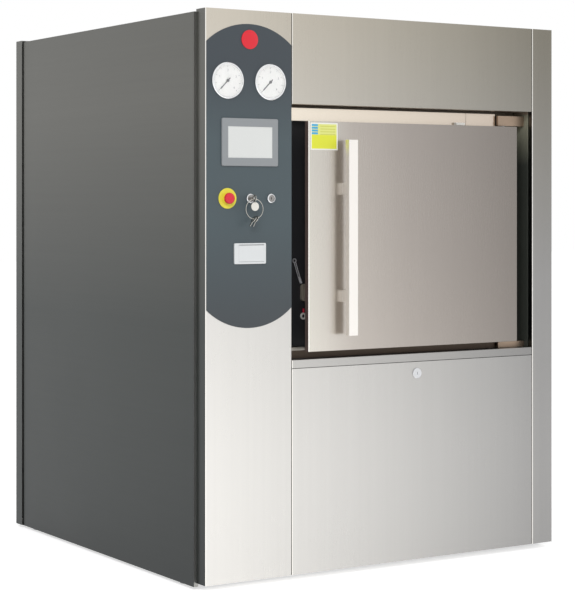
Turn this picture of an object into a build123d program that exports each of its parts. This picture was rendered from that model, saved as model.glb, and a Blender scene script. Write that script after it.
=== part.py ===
from build123d import *
import math
import os

# Seen from the front: X to the right, front facing -Y, Z up, all in millimetres
# The sizes build up from the chamber to the flange, the door, the opening and the cabinet

# Chamber and its flange
CHAMBER_WIDTH = 650.0
CHAMBER_HEIGHT = 650.0
CHAMBER_DEPTH = 1150.0  # from the flange's face to the end plate
CHAMBER_CORNER = 20.0
CHAMBER_WALL = 8.0
FLANGE_THICKNESS = 30.0
FLANGE_PROUD = 10.0  # flange stands out of the recess back
FLANGE_SIDE = 26.5  # gasket groove to the flange's side edge
FLANGE_END = 15.5  # gasket groove to the flange's top and bottom edge
END_PLATE = 12.0
GASKET_WIDTH = 12.0
GASKET_DEPTH = 10.0
GASKET_PROUD = 4.0
GASKET_MARGIN = 18.0  # chamber wall to the gasket groove
RAIL_HEIGHT = 18.0
RAIL_WIDTH = 30.0
RAIL_SHEET = 3.0
RAIL_SIDE = 115.0  # chamber wall to the rail's centre
RAIL_SETBACK = 20.0
STRAINER_RADIUS = 45.0
STRAINER_HEIGHT = 6.0
STRAINER_SLOT = (3.0, 48.0, 4.5)  # width, length and depth
STRAINER_SLOTS = 5
STRAINER_PITCH = 12.0
STRAINER_SETBACK = 120.0
STAND_LEG = 40.0
STAND_BEAM = 40.0
STAND_INSET = 20.0  # chamber wall to the outer side of the legs
STAND_FRONT = 250.0  # flange's face to the front portal
STAND_REAR = 150.0  # end plate to the rear portal

# Pressure door: folded cover, ribs and the plate that closes on the gasket
DOOR_FOLD = 22.0
DOOR_SIDE_INSET = 75.0  # cover's side edge to the side of plate and ribs
DOOR_END_INSET = 22.0  # cover's top and bottom edge to plate and ribs
DOOR_PLATE = 25.0
DOOR_SEAL_GAP = 0.3
RIB = 12.0
RIB_COLUMNS = 4
RIB_ROWS = 3
DOOR_LEFT_GAP = 68.0
DOOR_RIGHT_GAP = 72.0
DOOR_BOTTOM_GAP = 26.0
LINTEL_GAP = 3.0  # door's upper edge to the lintel bar
LINTEL_HEIGHT = 44.0
LINTEL_TOP_GAP = 10.0

# Facade, from left to right and from the floor up
COLUMN_WIDTH = 335.0
RIGHT_COLUMN_WIDTH = 94.0
SERVICE_HEIGHT = 699.0
LEDGE_HEIGHT = 27.0
HEADER_HEIGHT = 306.0
FACADE_FOLD = 60.0  # depth of the facade's side returns
BAY_FOLD = 25.0  # depth of the folds of header and ledge
SIDE_FOLD = 16.0
REAR_FOLD = 56.0
REAR_ROOM = 224.0  # end plate to the rear panel
FLOOR_GAP = 10.0  # floor to the lower edge of the side panels
FACADE_LIFT = 12.0  # lower edge of the facade above the side panels
SIDE_DROP = 10.0  # top of the side panels below the facade
SIDE_PROUD = 10.0  # side panels stand out past the facade's return
REAR_PROUD = 5.0  # rear panel's folds stand out past the side panels
REAR_DROP = 3.0  # rear panel's top below the facade's top
SHEET = 2.0
SEAM = 2.0
BEND = 3.0  # outer radius of a folded corner

# Frame of square tube behind the panels
TUBE = 50.0
TUBE_WALL = 4.0
BASE_TUBE_HEIGHT = 60.0
BASE_LIFT = 8.0  # facade's lower edge to the underside of the base tubes
FOOT_RADIUS = 24.0
FOOT_PAD = 9.0
FOOT_STEM_RADIUS = 8.0
FOOT_INSET = 120.0  # foot's centre to the end of its tube

# Recess round the door
RECESS_DEPTH = 110.0  # facade to the face of the recess back
RECESS_SHEET = 3.0

# Bar handle on two standoffs
HANDLE_LEFT = 129.0  # door's left edge to the bar
HANDLE_WIDTH = 38.0
HANDLE_THICKNESS = 26.0
HANDLE_STANDOFF = 31.0
HANDLE_BOTTOM = 53.0  # door's lower edge to the bar
HANDLE_TOP = 63.0  # door's upper edge to the bar
HANDLE_CORNER = 4.0
STANDOFF_WIDTH = 24.0
STANDOFF_HEIGHT = 40.0
STANDOFF_LOW = 133.0  # bar's lower end to the middle of the lower standoff
STANDOFF_HIGH = 167.0  # bar's upper end to the middle of the upper standoff

# Pivot hinge behind the door's right-hand corners
PIVOT_INSET = 20.0  # door's right edge to the pivot
PIVOT_DEPTH = 60.0  # facade to the pivot
PIN_RADIUS = 8.0
PIN_CLEARANCE = 0.05
PIN_REACH = 22.0  # upper pin's length inside its bracket
PIN_END_GAP = 1.0  # recess floor to the lower pin's end
ARM_THICKNESS = 12.0
ARM_REACH = 75.0  # length of the arm on the ribs
ARM_RADIUS = 14.0
BRACKET_GAP = 5.0  # door's edge to the fixed bracket
BRACKET_HEIGHT = 36.0
BRACKET_LENGTH = 121.5

# Lintel bar over the door
LINTEL_DEPTH = 60.0  # facade to the bar's face
LINTEL_START = 10.0  # from the opening's left side, behind the column
LINTEL_SHORT = 136.0  # length of the short piece with its slit
LINTEL_CLEARANCE = 4.0  # short piece to the hinge bracket
LINTEL_SLIT = 1.5
SILL_BAR_HEIGHT = 27.0
SILL_STEP_HEIGHT = 11.0
SILL_STEP_END = 52.0  # step's end to the flange
STRIKER = (39.0, 14.0, 9.0)
STRIKER_GAP = 14.0  # joint to the striker block

# Fittings in the gap left of the door: leftwards from the flange, upwards from the opening's edge
LINK_PLACE = (22.5, 222.0)
LINK_SIZE = (30.0, 59.0)
LINK_BAR = 5.0
LINK_DEPTH = 10.0
LINK_CORNER = 10.0
SPRING_TOP = (65.0, 333.0)  # middle of the loop's eye
SPRING_BEND = (45.5, 275.0)  # upper end of the ferrule
SPRING_BOTTOM = (37.5, 254.7)  # lower end of the ferrule
SPRING_WIRE = 1.5
SPRING_SPREAD = 3.0  # ferrule's axis to each wire
SPRING_EYE = 8.0
FERRULE_RADIUS = 5.0
LUG_PLACE = (26.5, 140.5)
LUG_RADIUS = 12.0
LUG_THICKNESS = 3.0
LUG_SLEEVE = 3.5
LUG_LENGTH = 14.0

# Control panel on the column
PANEL_MARGIN = 2.0  # column's edge to the panel
PANEL_THICKNESS = 2.0
PANEL_TOP_GAP = 46.0  # facade's top to the top of the upper arch
PANEL_HEIGHT = 1012.0
PANEL_RISE = 64.0
GAUGE_DROP = 191.0  # drops run from the top of the upper arch
GAUGE_SHIFT = -3.0  # panel's middle to the middle between the gauges
GAUGE_RADIUS = 60.5
GAUGE_PROUD = 8.0
GAUGE_RIM = 6.0
GAUGE_CHAMFER = 2.0
DIAL_SHEET = 1.0
GLASS_DROP = 0.5
GAUGE_DIAL_DROP = 5.0  # front of the case to the dial
GLASS = 1.5
NEEDLE_LENGTH = 40.0
NEEDLE_TAIL = 12.0
NEEDLE_WIDTH = 3.0
NEEDLE_ANGLES = (225.0, 225.0)
NEEDLE_THICKNESS = 1.0
HUB_RADIUS = 5.0
HUB_LENGTH = 2.0
SCREEN_WIDTH = 218.0
SCREEN_HEIGHT = 159.0
SCREEN_DROP = 394.0
SCREEN_PROUD = 6.0
SCREEN_CORNER = 6.0
SCREEN_CHAMFER = 1.5
LCD_WIDTH = 172.0
LCD_HEIGHT = 104.0
LCD_DROP = 1.0
LCD_THICKNESS = 2.0
CONTROL_DROP = 580.5
STOP_OFFSET = -86.0
KEY_OFFSET = 1.0
LOCK_OFFSET = 82.0
STOP_DISC_RADIUS = 34.0
STOP_DISC = 2.0
STOP_COLLAR_RADIUS = 16.0
STOP_COLLAR = 3.0
STOP_BORE_RADIUS = 9.0
STOP_STEM_RADIUS = 8.9
STOP_HEAD_RADIUS = 18.5
STOP_HEAD = 12.0
STOP_TRAVEL = 4.0
STOP_CLEAR = 2.0
STOP_STEM_GAP = 0.5  # stem's end at full travel to the facade
# Steps of the head's dome, as shares of its radius and height
STOP_DOME = ((1.0, 0.0), (1.0, 0.45), (0.93, 0.72), (0.78, 0.9), (0.45, 1.0), (0.0, 1.0))
SWITCH_RADIUS = 15.5
SWITCH_PROUD = 9.0
SWITCH_CHAMFER = 2.0
SWITCH_DISH_RADIUS = 12.0
SWITCH_BARREL_PROUD = 6.0
KEY_SLOT = (2.4, 9.0, 5.0)
KEY_THICKNESS = 2.0
KEY_BOW_RADIUS = 12.0
KEY_HOLE_RADIUS = 4.0
KEY_NECK = 16.0
KEY_BLADE = 7.5
SPARE_KEYS = ((-4.0, 34.0), (12.0, 26.0))  # angle from the ring's lowest point and lean of the key
SPARE_DROP = 0.8  # ring's wire to the middle of a leaning key's hole
HANG_GAP = 0.5
RING_RADIUS = 33.0
RING_WIRE = 1.1
TAG_OFFSET = 4.0  # switch's middle to the tag's
TAG_RADIUS = 14.5
TAG_THICKNESS = 2.0
PRINTER_WIDTH = 122.0
PRINTER_HEIGHT = 69.0
PRINTER_DROP = 764.0
PRINTER_LIP = 2.5  # plate overlaps the edge of the cut-out behind it
PRINTER_WALL = 2.0
PRINTER_PROUD = 5.0
PRINTER_DEPTH = 48.0
PRINTER_CORNER = 4.0
COVER_WIDTH = 98.0
COVER_HEIGHT = 55.0
COVER_THICKNESS = 4.0
COVER_GAP = 0.8
COVER_SIDE = 7.0  # printer's right edge to the cover
PAPER_SLOT = 2.0
ROLL_RADIUS = 20.0
ROLL_WIDTH = 58.0
ROLL_CORE = 6.0
ROLL_GAP = 0.3

# Round lock at the top of the service panel
SERVICE_LOCK_RADIUS = 19.0
SERVICE_LOCK_PROUD = 4.0
SERVICE_LOCK_BARREL = 11.0
SERVICE_LOCK_DROP = 42.0
SERVICE_LOCK_CHAMFER = 1.5
SERVICE_LOCK_CLEARANCE = 0.3
SERVICE_LOCK_SLOT = (2.4, 10.0, 3.0)
LOCK_SHANK = 20.0

# Sizes that build up from the chamber
GROOVE_WIDTH = CHAMBER_WIDTH + 2 * GASKET_MARGIN
GROOVE_HEIGHT = CHAMBER_HEIGHT + 2 * GASKET_MARGIN
GROOVE_CORNER = CHAMBER_CORNER + GASKET_MARGIN
FLANGE_WIDTH = GROOVE_WIDTH + 2 * (GASKET_WIDTH + FLANGE_SIDE)
FLANGE_HEIGHT = GROOVE_HEIGHT + 2 * (GASKET_WIDTH + FLANGE_END)
DOOR_WIDTH = FLANGE_WIDTH + 2 * DOOR_SIDE_INSET
DOOR_HEIGHT = FLANGE_HEIGHT + 2 * DOOR_END_INSET
DOOR_TOP_GAP = LINTEL_GAP + LINTEL_HEIGHT + LINTEL_TOP_GAP
OPENING_WIDTH = DOOR_LEFT_GAP + DOOR_WIDTH + DOOR_RIGHT_GAP
OPENING_HEIGHT = DOOR_BOTTOM_GAP + DOOR_HEIGHT + DOOR_TOP_GAP
FACADE_WIDTH = COLUMN_WIDTH + OPENING_WIDTH + RIGHT_COLUMN_WIDTH
FACADE_HEIGHT = SERVICE_HEIGHT + LEDGE_HEIGHT + OPENING_HEIGHT + HEADER_HEIGHT
CABINET_DEPTH = RECESS_DEPTH - FLANGE_PROUD + CHAMBER_DEPTH + END_PLATE + REAR_ROOM
PANEL_WIDTH = COLUMN_WIDTH - 2 * PANEL_MARGIN
GAUGE_SPACING = 2 * GAUGE_RADIUS + (PANEL_WIDTH - 4 * GAUGE_RADIUS) / 2

# Planes and edges that follow from the sizes above
HANDLE_PROUD = HANDLE_STANDOFF + HANDLE_THICKNESS
FACE = -(CABINET_DEPTH - HANDLE_PROUD) / 2
BACK = FACE + CABINET_DEPTH
LEFT = -FACADE_WIDTH / 2
RIGHT = FACADE_WIDTH / 2
FACADE_BOTTOM = FLOOR_GAP + FACADE_LIFT
FACADE_TOP = FACADE_BOTTOM + FACADE_HEIGHT
SIDE_TOP = FACADE_TOP - SIDE_DROP
BAY_LEFT = LEFT + COLUMN_WIDTH
BAY_RIGHT = RIGHT - RIGHT_COLUMN_WIDTH
LEDGE_BOTTOM = FACADE_BOTTOM + SERVICE_HEIGHT
OPENING_BOTTOM = LEDGE_BOTTOM + LEDGE_HEIGHT
OPENING_TOP = OPENING_BOTTOM + OPENING_HEIGHT
DOOR_LEFT = BAY_LEFT + DOOR_LEFT_GAP
DOOR_RIGHT = DOOR_LEFT + DOOR_WIDTH
DOOR_BOTTOM = OPENING_BOTTOM + DOOR_BOTTOM_GAP
DOOR_TOP = DOOR_BOTTOM + DOOR_HEIGHT
CHAMBER_X = (DOOR_LEFT + DOOR_RIGHT) / 2
CHAMBER_Z = (DOOR_BOTTOM + DOOR_TOP) / 2
FLANGE_LEFT = CHAMBER_X - FLANGE_WIDTH / 2
CHAMBER_FLOOR = CHAMBER_Z - CHAMBER_HEIGHT / 2
RECESS_BACK = FACE + RECESS_DEPTH
FLANGE_FACE = RECESS_BACK - FLANGE_PROUD
CHAMBER_END = FLANGE_FACE + CHAMBER_DEPTH
PLATE_BACK = FLANGE_FACE - GASKET_PROUD - DOOR_SEAL_GAP
PLATE_FRONT = PLATE_BACK - DOOR_PLATE
PANEL_X = LEFT + COLUMN_WIDTH / 2
PANEL_FACE = FACE - PANEL_THICKNESS
PANEL_TOP = FACADE_TOP - PANEL_TOP_GAP
PANEL_BOTTOM = PANEL_TOP - PANEL_HEIGHT
PIVOT_X = DOOR_RIGHT - PIVOT_INSET
PIVOT_Y = FACE + PIVOT_DEPTH


def block(x0, x1, y0, y1, z0, z1):
    """Box between two opposite corners."""
    return Pos((x0 + x1) / 2, (y0 + y1) / 2, (z0 + z1) / 2) * Box(x1 - x0, y1 - y0, z1 - z0)


def rod_y(x, z, radius, y0, y1):
    """Round bar along Y."""
    return Pos(x, (y0 + y1) / 2, z) * Rot(90, 0, 0) * Cylinder(radius, y1 - y0)


def rod_z(x, y, radius, z0, z1):
    """Round bar along Z."""
    return Pos(x, y, (z0 + z1) / 2) * Cylinder(radius, z1 - z0)


def rounded_block(x, z, width, height, corner, y0, y1):
    """Plate facing along Y with rounded corners."""
    outline = RectangleRounded(width, height, corner)
    return Pos(x, y1, z) * extrude(Plane.XZ * outline, y1 - y0)


def front_pan(x0, x1, z0, z1, fold, sheet=SHEET):
    """Front sheet with its four edges folded back."""
    outer = block(x0, x1, FACE, FACE + fold, z0, z1)
    bends = outer.edges().filter_by(Axis.Z).sort_by(Axis.Y)[:2]
    outer = fillet(bends, BEND)
    inner = block(x0 + sheet, x1 - sheet, FACE + sheet, FACE + fold + sheet, z0 + sheet, z1 - sheet)
    return outer - inner


def face_slot(x, y, z, size):
    """Cutter for an upright slot sunk into a face at y."""
    width, height, depth = size
    return block(x - width / 2, x + width / 2, y - 1, y + depth, z - height / 2, z + height / 2)


def tube(x0, x1, y0, y1, z0, z1, along):
    """Square tube between two corners, open at both ends."""
    wall = [TUBE_WALL, TUBE_WALL, TUBE_WALL]
    wall[along] = -1.0
    outer = block(x0, x1, y0, y1, z0, z1)
    inner = block(
        x0 + wall[0], x1 - wall[0], y0 + wall[1], y1 - wall[1], z0 + wall[2], z1 - wall[2]
    )
    return outer - inner


FRAME_RIGHT = FACADE_WIDTH / 2 + SIDE_PROUD - SIDE_FOLD
FRAME_LEFT = -FRAME_RIGHT
FRAME_FRONT = FACE + FACADE_FOLD
FRAME_BACK = BACK - SHEET
BASE_BOTTOM = FACADE_BOTTOM + BASE_LIFT
BASE_TOP = BASE_BOTTOM + BASE_TUBE_HEIGHT
FRAME_TOP = SIDE_TOP


def side_rails():
    """Two long base tubes from front to back."""
    left = tube(FRAME_LEFT, FRAME_LEFT + TUBE, FRAME_FRONT, FRAME_BACK, BASE_BOTTOM, BASE_TOP, 1)
    right = tube(FRAME_RIGHT - TUBE, FRAME_RIGHT, FRAME_FRONT, FRAME_BACK, BASE_BOTTOM, BASE_TOP, 1)
    return Compound(children=[left, right])


STAND_YS = (FLANGE_FACE + STAND_FRONT, CHAMBER_END - STAND_REAR)


def cross_rails():
    """Cross tubes between the long ones: at both ends and under the chamber's stand."""
    x0 = FRAME_LEFT + TUBE
    x1 = FRAME_RIGHT - TUBE
    starts = [FRAME_FRONT, FRAME_BACK - TUBE] + [y - TUBE / 2 for y in STAND_YS]
    rails = [tube(x0, x1, y, y + TUBE, BASE_BOTTOM, BASE_TOP, 0) for y in starts]
    return Compound(children=rails)


def corner_posts():
    """Four posts that stand on the long tubes."""
    posts = []
    for x in (FRAME_LEFT, FRAME_RIGHT - TUBE):
        for y in (FRAME_FRONT, FRAME_BACK - TUBE):
            posts.append(tube(x, x + TUBE, y, y + TUBE, BASE_TOP, FRAME_TOP, 2))
    return Compound(children=posts)


def levelling_feet():
    """Four feet: pad, tapered shoulder and stem up to the long tubes."""
    feet = []
    for x in (FRAME_LEFT + TUBE / 2, FRAME_RIGHT - TUBE / 2):
        for y in (FRAME_FRONT + FOOT_INSET, FRAME_BACK - FOOT_INSET):
            pad = rod_z(x, y, FOOT_RADIUS, 0, FOOT_PAD)
            pad = chamfer(pad.edges().group_by(Axis.Z)[-1], FOOT_PAD / 3)
            stem = rod_z(x, y, FOOT_STEM_RADIUS, FOOT_PAD, BASE_BOTTOM)
            feet.append(pad + stem)
    return Compound(children=feet)


def side_panel(side):
    """Side sheet with folded edges, from the facade's return to the rear panel."""
    face = side * (FACADE_WIDTH / 2 + SIDE_PROUD)
    y0 = FACE + FACADE_FOLD
    y1 = BACK - REAR_FOLD
    depth = SIDE_FOLD
    lo, hi = sorted((face, face - side * depth))
    outer = block(lo, hi, y0, y1, FLOOR_GAP, SIDE_TOP)
    ilo, ihi = sorted((face - side * SHEET, face - side * (depth + SHEET)))
    inner = block(ilo, ihi, y0 + SHEET, y1 - SHEET, FLOOR_GAP + SHEET, SIDE_TOP - SHEET)
    return outer - inner


def rear_panel():
    """Rear sheet whose deep side folds show as a strip on each side."""
    half = FACADE_WIDTH / 2 + SIDE_PROUD + REAR_PROUD
    top = FACADE_TOP - REAR_DROP
    outer = block(-half, half, BACK - REAR_FOLD, BACK, FLOOR_GAP, top)
    outer = fillet(outer.edges().filter_by(Axis.Z).sort_by(Axis.Y)[-2:], BEND)
    inner = block(
        -half + SHEET, half - SHEET, BACK - REAR_FOLD - SHEET, BACK - SHEET, FLOOR_GAP + SHEET, top - SHEET
    )
    return outer - inner


def top_panel():
    """Lid on the posts and side panels with an upturned edge behind the facade."""
    half = FACADE_WIDTH / 2 + SIDE_PROUD - SHEET
    y0 = FACE + FACADE_FOLD
    lid = block(-half, half, y0, BACK - REAR_FOLD, SIDE_TOP, SIDE_TOP + SHEET)
    edge = block(LEFT, RIGHT, y0, y0 + SHEET, SIDE_TOP, FACADE_TOP)
    return lid + edge


PRINTER_Z = PANEL_TOP - PRINTER_DROP


def printer_window():
    """Cut-out through panel and column behind the printer's plate."""
    half_x = PRINTER_WIDTH / 2 - PRINTER_LIP
    half_z = PRINTER_HEIGHT / 2 - PRINTER_LIP
    return block(
        PANEL_X - half_x, PANEL_X + half_x, PANEL_FACE - 1, FACE + SHEET + 1,
        PRINTER_Z - half_z, PRINTER_Z + half_z,
    )


def control_column():
    """Left facade column with the cut-out of the printer."""
    return front_pan(LEFT, BAY_LEFT, FACADE_BOTTOM, FACADE_TOP, FACADE_FOLD) - printer_window()


def right_column():
    return front_pan(BAY_RIGHT, RIGHT, FACADE_BOTTOM, FACADE_TOP, FACADE_FOLD)


def header_panel():
    """Upper panel whose top fold runs back as far as the columns' folds."""
    x0 = BAY_LEFT + SEAM
    x1 = BAY_RIGHT - SEAM
    pan = front_pan(x0, x1, OPENING_TOP, FACADE_TOP, BAY_FOLD)
    return pan + block(x0, x1, FACE + BAY_FOLD, FACE + FACADE_FOLD, FACADE_TOP - SHEET, FACADE_TOP)


def service_panel():
    """Lower panel that butts on the base frame, with the hole of its lock."""
    pan = front_pan(BAY_LEFT + SEAM, BAY_RIGHT - SEAM, FACADE_BOTTOM, LEDGE_BOTTOM - SEAM, FACADE_FOLD)
    z = LEDGE_BOTTOM - SERVICE_LOCK_DROP
    return pan - rod_y(CHAMBER_X, z, SERVICE_LOCK_BARREL, FACE - 1, FACE + SHEET + 1)


def ledge_strip():
    return front_pan(BAY_LEFT + SEAM, BAY_RIGHT - SEAM, LEDGE_BOTTOM, OPENING_BOTTOM, BAY_FOLD)


def service_lock():
    """Flat round rose with a key slot and a shank through the panel."""
    z = LEDGE_BOTTOM - SERVICE_LOCK_DROP
    rose = rod_y(CHAMBER_X, z, SERVICE_LOCK_RADIUS, FACE - SERVICE_LOCK_PROUD, FACE)
    rose = chamfer(rose.edges().group_by(Axis.Y)[0], SERVICE_LOCK_CHAMFER)
    shank = rod_y(CHAMBER_X, z, SERVICE_LOCK_BARREL - SERVICE_LOCK_CLEARANCE, FACE, FACE + LOCK_SHANK)
    return rose + shank - face_slot(CHAMBER_X, FACE - SERVICE_LOCK_PROUD, z, SERVICE_LOCK_SLOT)


def recess_lining():
    """Four walls between the opening's edge and the recess back."""
    y0 = FACE + BAY_FOLD
    sheet = RECESS_SHEET
    outer = block(BAY_LEFT, BAY_RIGHT, y0, RECESS_BACK, OPENING_BOTTOM - sheet, OPENING_TOP + sheet)
    inner = block(BAY_LEFT + sheet, BAY_RIGHT - sheet, y0 - 1, RECESS_BACK + 1, OPENING_BOTTOM, OPENING_TOP)
    return outer - inner


def recess_back():
    """Sheet behind the recess with a cut-out round the chamber flange."""
    sheet = block(
        BAY_LEFT, BAY_RIGHT, RECESS_BACK, RECESS_BACK + RECESS_SHEET,
        OPENING_BOTTOM - RECESS_SHEET, OPENING_TOP + RECESS_SHEET,
    )
    hole = block(
        CHAMBER_X - FLANGE_WIDTH / 2, CHAMBER_X + FLANGE_WIDTH / 2, RECESS_BACK - 1,
        RECESS_BACK + RECESS_SHEET + 1, CHAMBER_Z - FLANGE_HEIGHT / 2, CHAMBER_Z + FLANGE_HEIGHT / 2,
    )
    return sheet - hole


BRACKET_RIGHT = BAY_RIGHT - RECESS_SHEET
LINTEL_END = BRACKET_RIGHT - BRACKET_LENGTH - LINTEL_CLEARANCE
LINTEL_JOINT = LINTEL_END - LINTEL_SHORT
LINTEL_BOTTOM = DOOR_TOP + LINTEL_GAP


def lintel_bar():
    """Polished bar over the door in a long and a short piece."""
    z1 = LINTEL_BOTTOM + LINTEL_HEIGHT
    y0 = FACE + LINTEL_DEPTH
    long_piece = block(BAY_LEFT + LINTEL_START, LINTEL_JOINT, y0, RECESS_BACK, LINTEL_BOTTOM, z1)
    short_piece = block(LINTEL_JOINT + LINTEL_SLIT, LINTEL_END, y0, RECESS_BACK, LINTEL_BOTTOM, z1)
    return Compound(children=[long_piece, short_piece])


def sill_bar():
    """Lower bar on the recess floor, under the door's lower edge."""
    return block(
        BAY_LEFT + LINTEL_START, LINTEL_END, FACE + LINTEL_DEPTH, RECESS_BACK,
        OPENING_BOTTOM, OPENING_BOTTOM + SILL_BAR_HEIGHT,
    )


def sill_step():
    """Raised end of the sill bar beside the door's free edge."""
    z0 = OPENING_BOTTOM + SILL_BAR_HEIGHT
    return block(
        BAY_LEFT + LINTEL_START, FLANGE_LEFT - SILL_STEP_END, FACE + LINTEL_DEPTH, RECESS_BACK,
        z0, z0 + SILL_STEP_HEIGHT,
    )


def striker_block():
    """Small block on the lintel's face beside its joint."""
    width, depth, height = STRIKER
    x1 = LINTEL_JOINT - STRIKER_GAP
    y1 = FACE + LINTEL_DEPTH
    return block(x1 - width, x1, y1 - depth, y1, LINTEL_BOTTOM, LINTEL_BOTTOM + height)


TOP_BRACKET_Z = DOOR_TOP + BRACKET_GAP
LOW_BRACKET_Z = DOOR_BOTTOM - BRACKET_GAP


def hinge_brackets():
    """Fixed blocks over and under the door's hinged corners with the bores of the pins."""
    bore = rod_z(PIVOT_X, PIVOT_Y, PIN_RADIUS + PIN_CLEARANCE, OPENING_BOTTOM - 1, OPENING_TOP + 1)
    x0 = BRACKET_RIGHT - BRACKET_LENGTH
    y0 = PIVOT_Y - ARM_RADIUS
    blocks = []
    for z0, z1 in ((TOP_BRACKET_Z, TOP_BRACKET_Z + BRACKET_HEIGHT), (OPENING_BOTTOM, LOW_BRACKET_Z)):
        blocks.append(block(x0, BRACKET_RIGHT, y0, RECESS_BACK, z0, z1) - bore)
    return Compound(children=blocks)


def ring_outline(width, height, corner, band):
    """Band between two rounded rectangles."""
    outer = RectangleRounded(width + 2 * band, height + 2 * band, corner + band)
    return outer - RectangleRounded(width, height, corner)


def ring_block(width, height, corner, band, y0, y1):
    """Rounded rectangular ring round the chamber's axis."""
    ring = extrude(Plane.XZ * ring_outline(width, height, corner, band), y1 - y0)
    return Pos(CHAMBER_X, y1, CHAMBER_Z) * ring


def chamber_flange():
    """Machined front frame of the chamber with its gasket groove."""
    body = block(
        CHAMBER_X - FLANGE_WIDTH / 2, CHAMBER_X + FLANGE_WIDTH / 2, FLANGE_FACE,
        FLANGE_FACE + FLANGE_THICKNESS, CHAMBER_Z - FLANGE_HEIGHT / 2, CHAMBER_Z + FLANGE_HEIGHT / 2,
    )
    mouth = rounded_block(
        CHAMBER_X, CHAMBER_Z, CHAMBER_WIDTH, CHAMBER_HEIGHT, CHAMBER_CORNER,
        FLANGE_FACE - 1, FLANGE_FACE + FLANGE_THICKNESS + 1,
    )
    groove = ring_block(
        GROOVE_WIDTH, GROOVE_HEIGHT, GROOVE_CORNER, GASKET_WIDTH, FLANGE_FACE - 1, FLANGE_FACE + GASKET_DEPTH
    )
    return body - mouth - groove


def door_gasket():
    """Gasket that fills the groove and stands proud of the flange."""
    return ring_block(
        GROOVE_WIDTH, GROOVE_HEIGHT, GROOVE_CORNER, GASKET_WIDTH,
        FLANGE_FACE - GASKET_PROUD, FLANGE_FACE + GASKET_DEPTH,
    )


def chamber_shell():
    """Rectangular chamber wall from the flange to the end plate."""
    return ring_block(
        CHAMBER_WIDTH, CHAMBER_HEIGHT, CHAMBER_CORNER, CHAMBER_WALL,
        FLANGE_FACE + FLANGE_THICKNESS, CHAMBER_END,
    )


def chamber_end():
    width = CHAMBER_WIDTH + 2 * CHAMBER_WALL
    height = CHAMBER_HEIGHT + 2 * CHAMBER_WALL
    corner = CHAMBER_CORNER + CHAMBER_WALL
    return rounded_block(CHAMBER_X, CHAMBER_Z, width, height, corner, CHAMBER_END, CHAMBER_END + END_PLATE)


def chamber_rails():
    """Two angle rails on the chamber floor for a loading rack."""
    rails = []
    y0 = FLANGE_FACE + RAIL_SETBACK
    y1 = CHAMBER_END - RAIL_SETBACK
    z0 = CHAMBER_FLOOR
    for side in (-1, 1):
        x = CHAMBER_X + side * (CHAMBER_WIDTH / 2 - RAIL_SIDE)
        foot = block(x - RAIL_WIDTH / 2, x + RAIL_WIDTH / 2, y0, y1, z0, z0 + RAIL_SHEET)
        web = block(x - RAIL_SHEET / 2, x + RAIL_SHEET / 2, y0, y1, z0, z0 + RAIL_HEIGHT)
        rails.append(foot + web)
    return Compound(children=rails)


def drain_strainer():
    """Round slotted strainer on the chamber floor near the door."""
    y = FLANGE_FACE + STRAINER_SETBACK
    top = CHAMBER_FLOOR + STRAINER_HEIGHT
    disc = rod_z(CHAMBER_X, y, STRAINER_RADIUS, CHAMBER_FLOOR, top)
    width, length, depth = STRAINER_SLOT
    for i in range(STRAINER_SLOTS):
        x = CHAMBER_X + (i - (STRAINER_SLOTS - 1) / 2) * STRAINER_PITCH
        disc -= block(x - width / 2, x + width / 2, y - length / 2, y + length / 2, top - depth, top + 1)
    return disc


STAND_TOP = CHAMBER_FLOOR - CHAMBER_WALL
STAND_HALF = CHAMBER_WIDTH / 2 - STAND_INSET


def stand_beams():
    """Two cross beams under the chamber."""
    x0 = CHAMBER_X - STAND_HALF
    x1 = CHAMBER_X + STAND_HALF
    beams = [block(x0, x1, y - TUBE / 2, y + TUBE / 2, STAND_TOP - STAND_BEAM, STAND_TOP) for y in STAND_YS]
    return Compound(children=beams)


def stand_legs():
    """Four legs between the cross tubes and the beams."""
    legs = []
    for y in STAND_YS:
        for x in (CHAMBER_X - STAND_HALF, CHAMBER_X + STAND_HALF - STAND_LEG):
            legs.append(block(
                x, x + STAND_LEG, y - STAND_LEG / 2, y + STAND_LEG / 2, BASE_TOP, STAND_TOP - STAND_BEAM
            ))
    return Compound(children=legs)


def latch_link():
    """Rounded receiver beside the door's free edge."""
    width, height = LINK_SIZE
    x = FLANGE_LEFT - LINK_PLACE[0]
    z = OPENING_BOTTOM + LINK_PLACE[1]
    outer = rounded_block(x, z, width, height, LINK_CORNER, RECESS_BACK - LINK_DEPTH, RECESS_BACK)
    inner = rounded_block(
        x, z, width - 2 * LINK_BAR, height - 2 * LINK_BAR, LINK_CORNER - LINK_BAR,
        RECESS_BACK - LINK_DEPTH - 1, RECESS_BACK - LINK_BAR,
    )
    return outer - inner


def leaning(x0, z0, x1, z1, y):
    """Place at the lower point with Z towards the upper one, and the distance between them."""
    lean = math.degrees(math.atan2(x1 - x0, z1 - z0))
    return Pos(x0, y, z0) * Rot(0, lean, 0), math.hypot(x1 - x0, z1 - z0)


def latch_spring():
    """Loop of spring wire round its screw, crimped in a ferrule at the lower end."""
    y = RECESS_BACK - FERRULE_RADIUS
    points = [(FLANGE_LEFT - dx, OPENING_BOTTOM + dz) for dx, dz in (SPRING_BOTTOM, SPRING_BEND, SPRING_TOP)]
    low, bend, top = points
    place, length = leaning(*low, *bend, y)
    spring = place * Pos(0, 0, length / 2) * Cylinder(FERRULE_RADIUS, length)
    place, length = leaning(*bend, *top, y)
    for side in (-1, 1):
        spring += place * Pos(side * SPRING_SPREAD, 0, length / 2) * Cylinder(SPRING_WIRE, length)
    spring += rod_y(*top, SPRING_EYE, y - SPRING_WIRE, y + SPRING_WIRE)
    return spring - rod_y(*top, SPRING_EYE - 2 * SPRING_WIRE, y - FERRULE_RADIUS, RECESS_BACK)


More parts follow.
